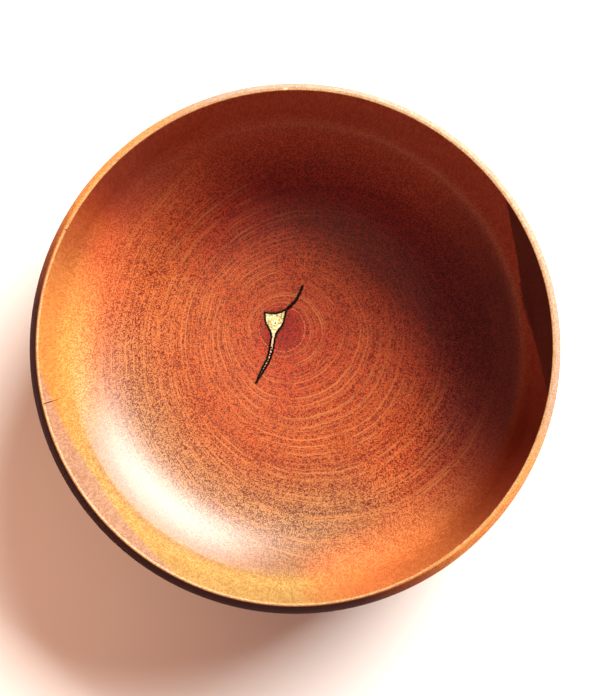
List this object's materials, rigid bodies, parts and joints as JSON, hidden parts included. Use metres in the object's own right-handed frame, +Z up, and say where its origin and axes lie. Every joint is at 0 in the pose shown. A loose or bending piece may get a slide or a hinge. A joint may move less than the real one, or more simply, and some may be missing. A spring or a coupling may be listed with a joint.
{
  "type": "turned wooden bowl",
  "caption": "Round open bowl turned from end-grain hardwood, with an incurved lip, a low foot ring and a gold-filled crack at the pith in its floor.",
  "frame": {"origin": "centre of the foot ring, on the surface that the bowl stands on", "axes": "+Z up along the axis that the bowl was turned on, +Y away from the viewer in the picture, +X to the right"},
  "size_m": [0.26, 0.26, 0.08],
  "materials": {
    "wood": "red-brown end grain, rubbed satin oil finish",
    "gold_filler": "pale gold grains in resin, sanded flush"
  },
  "bodies": {
    "root": {"bowl": "wood", "gold_inlay": "gold_filler"}
  },
  "joints": []
}
